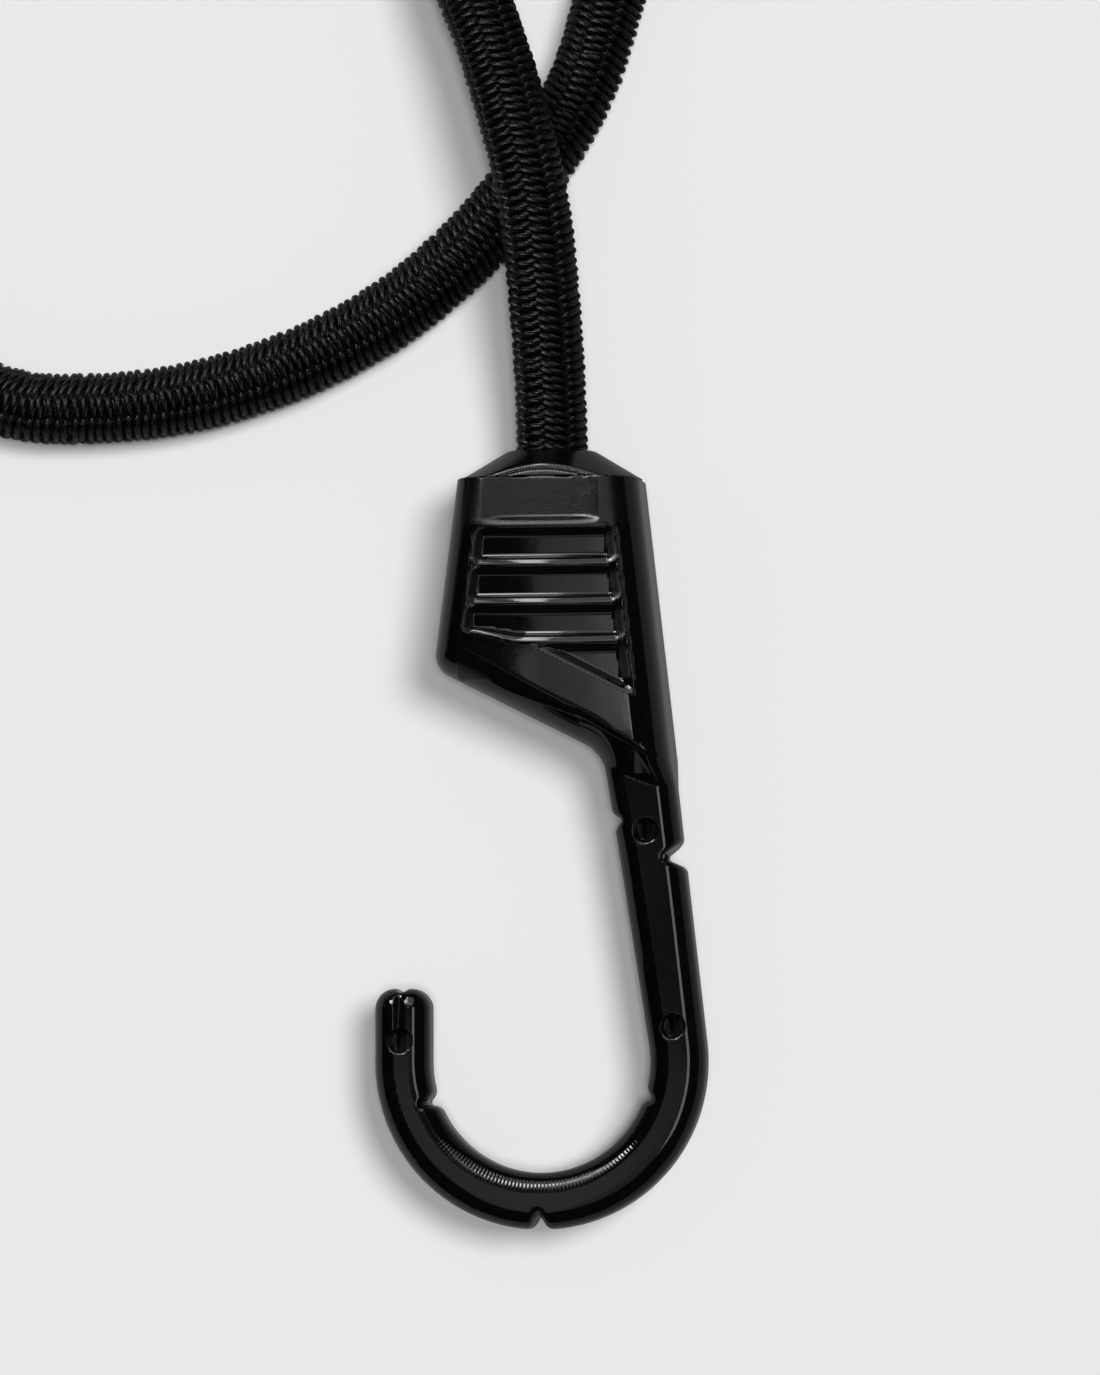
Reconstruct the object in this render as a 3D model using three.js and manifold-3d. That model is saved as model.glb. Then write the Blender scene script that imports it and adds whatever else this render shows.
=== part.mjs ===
// Bungee cord: a braided elastic cord, lying in loose loops, with a plastic-coated hook on each end.
// Sizes are in millimetres. +X is to the right, +Y runs from the first hook to its cord, +Z is up.
// The origin is on the table, under the cord's axis, on the flat band below the first hook's rim.

import * as THREE from "three";
import { mergeVertices } from "three/addons/utils/BufferGeometryUtils.js";
import Module from "manifold-3d";

const wasm = await Module();
wasm.setup();

// Cord
const CORD_DIAMETER = 9;
const SLEEVE_WALL = 0.8;
const SLEEVE_SIDES = 12;
const STRANDS_AROUND = 6;
const STRAND_SIDES = 5;
const STRAND_GAP = 0.3;
const CORD_STEPS = 55;
const LEAD_STEPS = 6;
const CUT_GAP = 0.3;
const CROSSING_GAP = 0.7;
const CORD_TAIL = 2;

// Fits between pieces
const RUNNING_GAP = 0.3;
const SEAT_GAP = 0.2;

// Crimp ferrule
const FERRULE_WALL = 1.4;
const FERRULE_LENGTH = 7;
const FERRULE_CHAMFER = 0.4;

// Socket cap and the socket that it closes
const CAP_HEIGHT = 3.6;
const CAP_LIP = 0.8;
const SPIGOT_LENGTH = 6;
const BEAD_HEIGHT = 0.5;
const BEAD_LENGTH = 1;
const BEAD_DEPTH = 3.2;
const SOCKET_SPARE = 2;
const SOCKET_WALL = 1.05;

// Grip block
const RIM_WIDTH = 23.2;
const RIM_Y = 2;
const SIDE_LEAN = 7.1;
const GRIP_HEIGHT = 24;
const UNDERSIDE_SLOPE = 26.7;
const GRIP_CORNER = 4.2;
const GRIP_FLANK = 3.8;
const GRIP_EDGE = 2.4;

// Ribbed panel on both faces of the grip
const PANEL_MARGIN = 3.9;
const PANEL_TOP = 6.2;
const PANEL_FLOOR_MARGIN = 6.2;
const RIB_PITCH = 4.9;
const RIB_WIDTH = 1.5;
const RIB_SLOPE = 1.2;
const RIB_COUNT = 4;
const RECESS_DEPTH = 1.2;

// Shank, bowl and tip
const BOWL_X = -1.3;
const BOWL_Y = -71.8;
const BOWL_RADIUS = 14;
const SECTION_WIDTH = 7.2;
const SECTION_HEIGHT = 8;
const SECTION_FLANK = 1.8;
const SECTION_EDGE = 0.8;
const SHANK_LEAN = 8.9;
const THROAT_RADIUS = 5;
const TIP_LENGTH = 9.3;
const TIP_CORNER = 2.6;
const SEAT_ANGLE = 16;

// Steel core and what the mould's support pins leave
const CORE_DIAMETER = 4;
const CORE_END_COVER = 3;
const CORE_TOP_Y = -22;
const DIMPLE_DIAMETER = 2.9;
const NOTCH_WIDTH = 3.2;
const NOTCH_DEPTH = 2.3;
const SMALL_NOTCH_DEPTH = 1.4;
const TIP_GROOVE_WIDTH = 1;
const TIP_GROOVE_DEPTH = 0.8;
const TIP_GROOVE_LENGTH = 5.5;

// Place of the second hook
const SECOND_HOOK_X = -123;
const SECOND_HOOK_Y = -9.2;

// Sizes that follow from the ones above
const CORD_RADIUS = CORD_DIAMETER / 2;
const BORE_RADIUS = CORD_RADIUS + RUNNING_GAP;
const FERRULE_RADIUS = BORE_RADIUS + FERRULE_WALL;
const SOCKET_RADIUS = FERRULE_RADIUS + RUNNING_GAP;
const SPIGOT_RADIUS = SOCKET_RADIUS - RUNNING_GAP;
const BEAD_RADIUS = SPIGOT_RADIUS + BEAD_HEIGHT;
const GRIP_HALF = SOCKET_RADIUS + SOCKET_WALL + RECESS_DEPTH;
const HOOK_MID = GRIP_HALF;
const CAP_TOP_Y = RIM_Y + SEAT_GAP + CAP_HEIGHT;
const SPIGOT_END_Y = RIM_Y + SEAT_GAP - SPIGOT_LENGTH;
const FERRULE_TOP_Y = SPIGOT_END_Y - RUNNING_GAP;
const FERRULE_END_Y = FERRULE_TOP_Y - FERRULE_LENGTH;
const CORD_END_Y = FERRULE_END_Y - CORD_TAIL;
const SOCKET_END_Y = CORD_END_Y - SOCKET_SPARE;
const OUTER_RADIUS = BOWL_RADIUS + SECTION_WIDTH;
const MIDDLE_RADIUS = BOWL_RADIUS + SECTION_WIDTH / 2;
const CHANNEL_RADIUS = CORE_DIAMETER / 2 + RUNNING_GAP;
const BOWL = new THREE.Vector2(BOWL_X, BOWL_Y);

const rad = THREE.MathUtils.degToRad;
const deg = THREE.MathUtils.radToDeg;
const point = (x, y) => new THREE.Vector2(x, y);
const onCircle = (centre, radius, angle) =>
  point(centre.x + radius * Math.cos(rad(angle)), centre.y + radius * Math.sin(rad(angle)));

// Points along an arc, both ends included, no more than a step apart in degrees.
function arc(centre, radius, from, to, step) {
  const count = Math.max(1, Math.ceil(Math.abs(to - from) / step));
  return Array.from({ length: count + 1 }, (_, i) => onCircle(centre, radius, from + ((to - from) * i) / count));
}

// The arc that rounds a corner between two straight edges.
function roundCorner(before, corner, after, radius, step = 20) {
  const a = before.clone().sub(corner).normalize();
  const b = after.clone().sub(corner).normalize();
  const half = Math.acos(a.dot(b)) / 2;
  const centre = corner.clone().add(a.clone().add(b).normalize().multiplyScalar(radius / Math.sin(half)));
  const toEdge = (edge) => corner.clone().add(edge.clone().multiplyScalar(radius / Math.tan(half)));
  const angleOf = (p) => deg(Math.atan2(p.y - centre.y, p.x - centre.x));
  const from = angleOf(toEdge(a));
  const turn = ((angleOf(toEdge(b)) - from + 540) % 360) - 180;
  return arc(centre, radius, from, from + turn, step);
}

// Where two lines cross, each given by a point and a direction.
function crossing(p, along, q, other) {
  const share = (q.clone().sub(p).cross(other)) / along.cross(other);
  return p.clone().add(along.clone().multiplyScalar(share));
}

// Turns a closed geometry into a solid for cutting and joining, and back.
function solid(geometry) {
  const bare = geometry.clone();
  bare.deleteAttribute("normal");
  bare.deleteAttribute("uv");
  const merged = mergeVertices(bare, 1e-4);
  const mesh = new wasm.Mesh({
    numProp: 3,
    vertProperties: new Float32Array(merged.attributes.position.array),
    triVerts: new Uint32Array(merged.index.array),
  });
  return new wasm.Manifold(mesh);
}

function geometryOf(manifold) {
  const mesh = manifold.getMesh();
  const geometry = new THREE.BufferGeometry();
  geometry.setAttribute("position", new THREE.BufferAttribute(new Float32Array(mesh.vertProperties), 3));
  geometry.setIndex(new THREE.BufferAttribute(new Uint32Array(mesh.triVerts), 1));
  geometry.computeVertexNormals();
  return geometry;
}

// A plate that keeps its outline at mid height and rounds towards both faces.
function roundedPlate(outline, half, flank, edge, segments) {
  const geometry = new THREE.ExtrudeGeometry(new THREE.Shape(outline), {
    depth: 2 * edge,
    bevelThickness: half - edge,
    bevelSize: flank,
    bevelOffset: -flank,
    bevelSegments: segments,
  });
  return geometry.translate(0, 0, HOOK_MID - edge);
}

// A straight prism over the whole height of the hook, or over part of it.
function prism(outline, low = -1, high = 2 * HOOK_MID + 1) {
  const shape = new THREE.Shape(outline);
  return new THREE.ExtrudeGeometry(shape, { depth: high - low, bevelEnabled: false }).translate(0, 0, low);
}

// Straight edges of the hook's outline, as points and directions.
const rimRight = point(RIM_WIDTH / 2, RIM_Y);
const rimLeft = point(-RIM_WIDTH / 2, RIM_Y);
const leftEdge = point(-Math.sin(rad(SIDE_LEAN)), -Math.cos(rad(SIDE_LEAN)));
const underside = point(Math.cos(rad(UNDERSIDE_SLOPE)), -Math.sin(rad(UNDERSIDE_SLOPE)));
const gripCorner = rimLeft.clone().add(leftEdge.clone().multiplyScalar(GRIP_HEIGHT / -leftEdge.y));

// The right edge runs from the rim straight to where it meets the bowl's outer circle.
const toRim = rimRight.clone().sub(BOWL);
const outerStart = deg(Math.atan2(toRim.y, toRim.x)) - deg(Math.acos(OUTER_RADIUS / toRim.length()));
const outerPoint = onCircle(BOWL, OUTER_RADIUS, outerStart);
const rightEdge = outerPoint.clone().sub(rimRight).normalize();
const innerPoint = onCircle(BOWL, BOWL_RADIUS, SHANK_LEAN);
const innerEdge = point(-Math.sin(rad(SHANK_LEAN)), Math.cos(rad(SHANK_LEAN)));
const throat = crossing(gripCorner, underside, innerPoint, innerEdge);
const gripEnd = crossing(gripCorner, underside, rimRight, rightEdge);
const rightEdgeAt = (y) => rimRight.x + ((y - RIM_Y) * rightEdge.x) / rightEdge.y;
const innerEdgeAt = (y) => innerPoint.x + ((y - innerPoint.y) * innerEdge.x) / innerEdge.y;

// Outline of the shank, bowl and tip; its upper end is buried in the grip.
function hookOutline() {
  const tipTop = BOWL_Y + TIP_LENGTH;
  const outerTip = point(BOWL_X - OUTER_RADIUS, tipTop);
  const innerTip = point(BOWL_X - BOWL_RADIUS, tipTop);
  const rootY = gripCorner.y + GRIP_CORNER;
  const alongUnderside = throat.clone().sub(underside);
  return [
    point(rightEdgeAt(rootY) - GRIP_FLANK, rootY),
    gripEnd.clone().add(rightEdge.clone().multiplyScalar(SECTION_EDGE)),
    ...arc(BOWL, OUTER_RADIUS, outerStart, -180, 8),
    ...roundCorner(onCircle(BOWL, OUTER_RADIUS, 180), outerTip, innerTip, TIP_CORNER),
    ...roundCorner(outerTip, innerTip, onCircle(BOWL, BOWL_RADIUS, 180), TIP_CORNER),
    ...arc(BOWL, BOWL_RADIUS, -180, -90 - SEAT_ANGLE / 2, 10),
    ...arc(BOWL, BOWL_RADIUS, -90 + SEAT_ANGLE / 2, SHANK_LEAN, 10),
    ...roundCorner(innerPoint, throat, alongUnderside, THROAT_RADIUS, 12),
    point(throat.x - THROAT_RADIUS, rootY),
  ];
}

// Outline of the grip, drawn past the rim so that the rim can be cut square.
function gripOutline() {
  const past = 3 * GRIP_FLANK;
  const topRight = rimRight.clone().sub(rightEdge.clone().multiplyScalar(past));
  const topLeft = rimLeft.clone().sub(leftEdge.clone().multiplyScalar(past));
  return [topRight, topLeft, ...roundCorner(topLeft, gripCorner, gripEnd, GRIP_CORNER), gripEnd];
}

// The ribbed panel: scoops with a sloping upper side and a steep lower one, trimmed to the panel's outline.
function panelRecesses() {
  const inset = (p, direction, side) => p.clone().add(point(-direction.y, direction.x).multiplyScalar(side));
  const leftLine = inset(rimLeft, leftEdge, PANEL_MARGIN);
  const rightLine = inset(rimRight, rightEdge, -PANEL_MARGIN);
  const floorLine = inset(gripCorner, underside, PANEL_FLOOR_MARGIN);
  const top = point(0, RIM_Y - PANEL_TOP);
  const level = point(1, 0);
  const panel = [
    crossing(top, level, leftLine, leftEdge),
    crossing(leftLine, leftEdge, floorLine, underside),
    crossing(rightLine, rightEdge, floorLine, underside),
    crossing(top, level, rightLine, rightEdge),
  ];
  const scoops = [];
  for (let i = 0; i < RIB_COUNT; i += 1) {
    const y = top.y - i * RIB_PITCH;
    const end = y - RIB_PITCH + RIB_WIDTH;
    const section = [
      point(y + RIB_SLOPE, 1.01 * RECESS_DEPTH),
      point(y - RIB_SLOPE, -RECESS_DEPTH),
      point(end, -RECESS_DEPTH),
      point(end, 1.01 * RECESS_DEPTH),
    ];
    const bar = new THREE.ExtrudeGeometry(new THREE.Shape(section), { depth: 2 * RIM_WIDTH, bevelEnabled: false });
    const upright = new THREE.Matrix4().makeBasis(
      new THREE.Vector3(0, 1, 0),
      new THREE.Vector3(0, 0, 1),
      new THREE.Vector3(1, 0, 0),
    );
    scoops.push(solid(bar.applyMatrix4(upright).translate(-RIM_WIDTH, 0, 2 * HOOK_MID)));
  }
  const face = scoops.reduce((all, scoop) => all.add(scoop)).intersect(solid(prism(panel)));
  return [face, face.mirror([0, 0, 1]).translate([0, 0, 2 * HOOK_MID])];
}

// Centre line of the steel core, from inside the tip round the bowl and up the shank into the grip.
function corePath(extra) {
  const tipY = BOWL_Y + TIP_LENGTH - CORE_END_COVER + extra;
  const shank = (y) => new THREE.Vector3((innerEdgeAt(y) + rightEdgeAt(y)) / 2, y, HOOK_MID);
  const bend = arc(BOWL, MIDDLE_RADIUS, -180, 0, 22.5).map((p) => new THREE.Vector3(p.x, p.y, HOOK_MID));
  const rise = [0.25, 0.5, 0.75].map((share) => shank(THREE.MathUtils.lerp(BOWL_Y, throat.y, share)));
  const topX = rightEdgeAt(CORE_TOP_Y) - SECTION_WIDTH / 2 - SECTION_EDGE;
  return new THREE.CatmullRomCurve3([
    new THREE.Vector3(BOWL_X - MIDDLE_RADIUS, tipY, HOOK_MID),
    ...bend,
    ...rise,
    new THREE.Vector3(topX, CORE_TOP_Y + extra, HOOK_MID),
  ]);
}

function coreTube(radius, sides, extra) {
  const shape = new THREE.Shape(arc(point(0, 0), radius, 0, 360 - 360 / sides, 360 / sides));
  return new THREE.ExtrudeGeometry(shape, { extrudePath: corePath(extra), steps: 36, bevelEnabled: false });
}

// Holes left by the mould's support pins, down to the core from both faces.
function pinHoles() {
  const shankMiddle = (y) => point((innerEdgeAt(y) + rightEdgeAt(y)) / 2, y);
  const nearThroat = shankMiddle(throat.y - 2 * THROAT_RADIUS);
  const places = [
    nearThroat,
    shankMiddle(BOWL_Y + MIDDLE_RADIUS / 4),
    point(BOWL_X - MIDDLE_RADIUS, BOWL_Y + TIP_LENGTH - TIP_GROOVE_LENGTH - 0.4 * DIMPLE_DIAMETER),
  ];
  const low = HOOK_MID - SECTION_HEIGHT;
  return places.map((p) => solid(prism(arc(p, DIMPLE_DIAMETER / 2, 0, 330, 30), low, 2 * HOOK_MID - low)));
}

// A V notch with a blunt bottom: a point on the outline, the way out of the hook, and a depth.
function notch(at, outward, depth) {
  const half = NOTCH_WIDTH / 2;
  const outline = [
    point(depth, -half * 2),
    point(-depth * 0.7, -half * 0.35),
    point(-depth, 0),
    point(-depth * 0.7, half * 0.35),
    point(depth, half * 2),
  ];
  const turned = outline.map((p) => p.rotateAround(point(0, 0), rad(outward)).add(at));
  return solid(prism(turned));
}

function notches() {
  const outerY = throat.y - 2.6 * THROAT_RADIUS;
  const innerY = throat.y - 1.8 * THROAT_RADIUS;
  return [
    notch(point(rightEdgeAt(outerY), outerY), SHANK_LEAN, NOTCH_DEPTH),
    notch(point(innerEdgeAt(innerY), innerY), 180 + SHANK_LEAN, SMALL_NOTCH_DEPTH),
    notch(onCircle(BOWL, OUTER_RADIUS, -90), -90, SMALL_NOTCH_DEPTH),
    notch(onCircle(BOWL, BOWL_RADIUS, 200), 20, SMALL_NOTCH_DEPTH),
    notch(onCircle(BOWL, BOWL_RADIUS, -18), 162, SMALL_NOTCH_DEPTH),
  ];
}

// Groove down the middle of the tip, on both faces.
function tipGrooves() {
  const half = TIP_GROOVE_WIDTH / 2;
  const x = BOWL_X - MIDDLE_RADIUS;
  const top = BOWL_Y + TIP_LENGTH;
  const outline = [point(x - half, top + 1), point(x, top - TIP_GROOVE_LENGTH), point(x + half, top + 1)];
  const face = HOOK_MID + SECTION_HEIGHT / 2;
  const foot = HOOK_MID - SECTION_HEIGHT / 2;
  return [
    solid(prism(outline, face - TIP_GROOVE_DEPTH, face + 1)),
    solid(prism(outline, foot - 1, foot + TIP_GROOVE_DEPTH)),
  ];
}

// The round socket, with a groove for the cap's snap bead.
function socketSpace() {
  const grooveRadius = BEAD_RADIUS + RUNNING_GAP;
  const grooveLow = RIM_Y - BEAD_DEPTH - BEAD_LENGTH / 2 - RUNNING_GAP;
  const grooveHigh = RIM_Y - BEAD_DEPTH + BEAD_LENGTH / 2 + RUNNING_GAP;
  const profile = [
    point(0, SOCKET_END_Y),
    point(SOCKET_RADIUS, SOCKET_END_Y),
    point(SOCKET_RADIUS, grooveLow),
    point(grooveRadius, grooveLow),
    point(grooveRadius, grooveHigh),
    point(SOCKET_RADIUS, grooveHigh),
    point(SOCKET_RADIUS, RIM_Y + 1),
    point(0, RIM_Y + 1),
  ];
  return new THREE.LatheGeometry(profile, 24).translate(0, 0, HOOK_MID);
}

function hookBody() {
  const grip = solid(roundedPlate(gripOutline(), GRIP_HALF, GRIP_FLANK, GRIP_EDGE, 4));
  const wide = 2 * RIM_WIDTH;
  const above = new THREE.BoxGeometry(wide, wide, wide).translate(0, RIM_Y + wide / 2, HOOK_MID);
  const arm = solid(roundedPlate(hookOutline(), SECTION_HEIGHT / 2, SECTION_FLANK, SECTION_EDGE, 4));
  const cuts = [
    solid(socketSpace()),
    solid(coreTube(CHANNEL_RADIUS, 10, RUNNING_GAP)),
    ...pinHoles(),
    ...notches(),
    ...tipGrooves(),
    ...panelRecesses(),
  ];
  const whole = grip.subtract(solid(above)).add(arm);
  return geometryOf(cuts.reduce((left, cut) => left.subtract(cut), whole));
}

// Conical cap: cone over the rim, spigot with a snap bead in the socket, bore for the cord.
function socketCap() {
  const seat = RIM_Y + SEAT_GAP;
  const beadLow = RIM_Y - BEAD_DEPTH - BEAD_LENGTH / 2;
  const beadHigh = RIM_Y - BEAD_DEPTH + BEAD_LENGTH / 2;
  const profile = [
    point(BORE_RADIUS, SPIGOT_END_Y),
    point(SPIGOT_RADIUS, SPIGOT_END_Y),
    point(SPIGOT_RADIUS, beadLow),
    point(BEAD_RADIUS, beadLow),
    point(BEAD_RADIUS, beadHigh),
    point(SPIGOT_RADIUS, beadHigh),
    point(SPIGOT_RADIUS, seat),
    point(RIM_WIDTH / 2, seat),
    point(BORE_RADIUS + CAP_LIP, CAP_TOP_Y),
    point(BORE_RADIUS, CAP_TOP_Y),
    point(BORE_RADIUS, SPIGOT_END_Y),
  ];
  const cone = new THREE.LatheGeometry(profile, 32).translate(0, 0, HOOK_MID);
  const slab = new THREE.BoxGeometry(2 * RIM_WIDTH, 4 * SPIGOT_LENGTH, 2 * GRIP_HALF).translate(0, RIM_Y, HOOK_MID);
  return geometryOf(solid(cone).intersect(solid(slab)));
}

function crimpFerrule() {
  const inside = BORE_RADIUS;
  const profile = [
    point(inside, FERRULE_END_Y),
    point(FERRULE_RADIUS - FERRULE_CHAMFER, FERRULE_END_Y),
    point(FERRULE_RADIUS, FERRULE_END_Y + FERRULE_CHAMFER),
    point(FERRULE_RADIUS, FERRULE_TOP_Y - FERRULE_CHAMFER),
    point(FERRULE_RADIUS - FERRULE_CHAMFER, FERRULE_TOP_Y),
    point(inside, FERRULE_TOP_Y),
    point(inside, FERRULE_END_Y),
  ];
  return new THREE.LatheGeometry(profile, 24).translate(0, 0, HOOK_MID);
}

// Route of the cord, chosen by hand: x, y and the height of its centre line.
const LIE = CORD_RADIUS;
const OVER = 3 * CORD_RADIUS + CROSSING_GAP;
const ROUTE = [
  [0, CORD_END_Y, HOOK_MID],
  [0, CAP_TOP_Y + 4, HOOK_MID],
  [-0.5, 24.8, HOOK_MID + 3],
  [-1.6, 37.3, OVER],
  [-4.7, 50, OVER],
  [-9.1, 62.8, OVER - 1.6],
  [-15.5, 76, LIE + 5],
  [-26, 87.5, LIE + 2],
  [-40, 95, LIE + 0.4],
  [-56, 97.5, LIE],
  [-72, 95, LIE],
  [-86, 87, LIE],
  [-96.5, 74.5, LIE],
  [-101.5, 59, LIE],
  [-100, 43, LIE],
  [-93, 29.2, LIE],
  [-83, 19, LIE],
  [-70.6, 13.2, LIE],
  [-60.5, 12.5, LIE],
  [-50.3, 13.3, LIE],
  [-40.2, 15.6, LIE],
  [-30, 19.5, LIE],
  [-19.8, 25.3, LIE],
  [-9.7, 34.1, LIE],
  [-2.4, 43.2, LIE],
  [3.3, 53.1, LIE],
  [6.6, 63.2, LIE],
  [9.5, 76, LIE],
  [6.5, 96, LIE],
  [-6, 111, LIE],
  [-26, 120, LIE],
  [-50, 122.3, LIE],
  [-74, 118.5, LIE],
  [-97, 107.5, LIE],
  [-114, 91, LIE],
  [-122, 69, LIE],
  [SECOND_HOOK_X, 46, LIE + 0.6],
  [SECOND_HOOK_X, 20, HOOK_MID - 1],
  [SECOND_HOOK_X, SECOND_HOOK_Y + CAP_TOP_Y + 4, HOOK_MID],
  [SECOND_HOOK_X, SECOND_HOOK_Y + CORD_END_Y, HOOK_MID],
];
const route = new THREE.CatmullRomCurve3(ROUTE.map((p) => new THREE.Vector3(...p)));
route.arcLengthDivisions = 2000;

// A part of the route, between two distances along it.
class Stretch extends THREE.Curve {
  constructor(from, to) {
    super();
    this.from = from / route.getLength();
    this.to = to / route.getLength();
  }
  getPoint(t, target = new THREE.Vector3()) {
    return route.getPointAt(THREE.MathUtils.lerp(this.from, this.to, t), target);
  }
}

function tube(shape, from, to, steps) {
  const extrudePath = new Stretch(from, to);
  return new THREE.ExtrudeGeometry(shape, { extrudePath, steps, bevelEnabled: false });
}

// Gap between the cord and itself: the least distance of two places on it that aren't neighbours.
function leastGap() {
  const places = route.getSpacedPoints(700);
  const apart = Math.ceil((4 * CORD_DIAMETER) / (route.getLength() / 700));
  let least = Infinity;
  places.forEach((p, i) => {
    for (let j = i + apart; j < places.length; j += 1) least = Math.min(least, p.distanceTo(places[j]));
  });
  return least - CORD_DIAMETER;
}

const part = new THREE.Group();
part.name = "bungee_cord";

const plastic = new THREE.MeshStandardMaterial({ color: 0x141416, roughness: 0.25 });
const steel = new THREE.MeshStandardMaterial({ color: 0x9a9a98, metalness: 1, roughness: 0.4 });
const braid = new THREE.MeshStandardMaterial({ color: 0x1b1b1d, roughness: 0.9 });
const rubber = new THREE.MeshStandardMaterial({ color: 0xc8b48c, roughness: 0.8 });

function addPiece(group, name, geometry, material) {
  const mesh = new THREE.Mesh(geometry, material);
  mesh.name = name;
  group.add(mesh);
}

// Hooks, with the crimp that holds the cord's end in each
const hookShape = hookBody();
const coreShape = coreTube(CORE_DIAMETER / 2, 10, 0);
const hookPlaces = { a: [0, 0], b: [SECOND_HOOK_X, SECOND_HOOK_Y] };
for (const [end, [x, y]] of Object.entries(hookPlaces)) {
  const hook = new THREE.Group();
  hook.name = `hook_${end}`;
  hook.position.set(x, y, 0);
  addPiece(hook, `hook_body_${end}`, hookShape, plastic);
  addPiece(hook, `hook_core_${end}`, coreShape, steel);
  addPiece(hook, `socket_cap_${end}`, socketCap(), plastic);
  addPiece(hook, `crimp_ferrule_${end}`, crimpFerrule(), steel);
  part.add(hook);
}

// Braided sleeve, in the two leads and the coil between them
const sleeve = new THREE.Shape(arc(point(0, 0), CORD_RADIUS, 0, 360 - 360 / SLEEVE_SIDES, 360 / SLEEVE_SIDES));
const lining = CORD_RADIUS - SLEEVE_WALL;
sleeve.holes.push(new THREE.Path(arc(point(0, 0), lining, 0, 360 - 360 / SLEEVE_SIDES, 360 / SLEEVE_SIDES)));
const whole = route.getLength();
const step = whole / CORD_STEPS;
const cutA = LEAD_STEPS * step;
const cutB = whole - LEAD_STEPS * step;
const half = CUT_GAP / 2;
addPiece(part, "sleeve_lead_a", tube(sleeve, 0, cutA - half, LEAD_STEPS), braid);
addPiece(part, "sleeve_coil", tube(sleeve, cutA + half, cutB - half, CORD_STEPS - 2 * LEAD_STEPS), braid);
addPiece(part, "sleeve_lead_b", tube(sleeve, cutB + half, whole, LEAD_STEPS), braid);

// Rubber strands inside the sleeve: one in the middle and a ring round it
const roundShare = Math.cos(Math.PI / SLEEVE_SIDES);
const strandRadius = (lining * roundShare - 2 * STRAND_GAP) / 3;
const strandRing = 2 * strandRadius + STRAND_GAP;
for (let i = 0; i <= STRANDS_AROUND; i += 1) {
  const centre = i === 0 ? point(0, 0) : onCircle(point(0, 0), strandRing, (360 * i) / STRANDS_AROUND);
  const strand = new THREE.Shape(arc(centre, strandRadius, 0, 360 - 360 / STRAND_SIDES, 360 / STRAND_SIDES));
  addPiece(part, `rubber_strand_${i + 1}`, tube(strand, 0, whole, CORD_STEPS), rubber);
}

console.log(`cord length between the caps ${(whole - 2 * (CAP_TOP_Y - CORD_END_Y)).toFixed(1)} mm`);
console.log(`cord's least gap to itself ${leastGap().toFixed(2)} mm`);

export default part;
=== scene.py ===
# Looks of the bungee cord: braided elastic cord in loose loops, with a moulded J hook on each end.
# The hook and cord are worked out in millimetres and made in metres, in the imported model's own frame.
import math

import bpy
import numpy as np
from mathutils import Matrix, Vector


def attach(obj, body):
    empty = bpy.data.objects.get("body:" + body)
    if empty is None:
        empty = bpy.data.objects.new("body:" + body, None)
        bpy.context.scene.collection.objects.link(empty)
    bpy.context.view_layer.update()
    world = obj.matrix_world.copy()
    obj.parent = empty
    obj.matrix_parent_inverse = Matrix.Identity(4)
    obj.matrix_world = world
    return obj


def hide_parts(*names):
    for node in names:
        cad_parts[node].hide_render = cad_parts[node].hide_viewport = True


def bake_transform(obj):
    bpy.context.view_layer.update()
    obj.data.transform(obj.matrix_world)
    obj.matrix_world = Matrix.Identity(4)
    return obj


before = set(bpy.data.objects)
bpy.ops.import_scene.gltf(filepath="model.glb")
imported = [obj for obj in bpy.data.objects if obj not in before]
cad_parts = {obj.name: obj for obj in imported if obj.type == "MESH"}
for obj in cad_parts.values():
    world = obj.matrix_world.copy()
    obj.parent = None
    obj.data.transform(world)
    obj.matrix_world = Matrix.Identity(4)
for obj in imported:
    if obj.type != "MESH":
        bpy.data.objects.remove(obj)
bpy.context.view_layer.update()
scene = bpy.context.scene
scene.view_settings.view_transform = "Standard"
MM = 0.001

# Shared sizes, the same as in the part's source
CORD_DIAMETER = 9.0
HOOK_MID = 8.75
RIM_Y = 2.0
CAP_TOP_Y = 5.8
CORD_END_Y = -13.1
HOOK_PLACES = {"a": (0.0, 0.0), "b": (-123.0, -9.2)}

# Camera: the photograph is 1100 by 1375 pixels at 0.127 mm a pixel, seen slightly from the right
PIXEL = 0.127
FRAME_HEIGHT = 1375 * PIXEL
VIEW_TARGET = (-0.2, -24.3, HOOK_MID)
VIEW_LEAN = (0.14, -0.06)
VIEW_DISTANCE = 950.0
SENSOR_HEIGHT = 24.0


def add_camera():
    towards = Vector((*VIEW_LEAN, 1)).normalized()
    up = Vector((0, 1, 0))
    up = (up - towards * up.dot(towards)).normalized()
    camera = bpy.data.objects.new("camera", bpy.data.cameras.new("camera"))
    scene.collection.objects.link(camera)
    camera.location = (Vector(VIEW_TARGET) + towards * VIEW_DISTANCE) * MM
    camera.rotation_euler = Matrix((up.cross(towards), up, towards)).transposed().to_euler()
    camera.data.sensor_fit = "VERTICAL"
    camera.data.sensor_height = SENSOR_HEIGHT
    camera.data.lens = SENSOR_HEIGHT * VIEW_DISTANCE / FRAME_HEIGHT
    camera.data.clip_start = 0.01
    scene.camera = camera


add_camera()


# Shader maths

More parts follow.
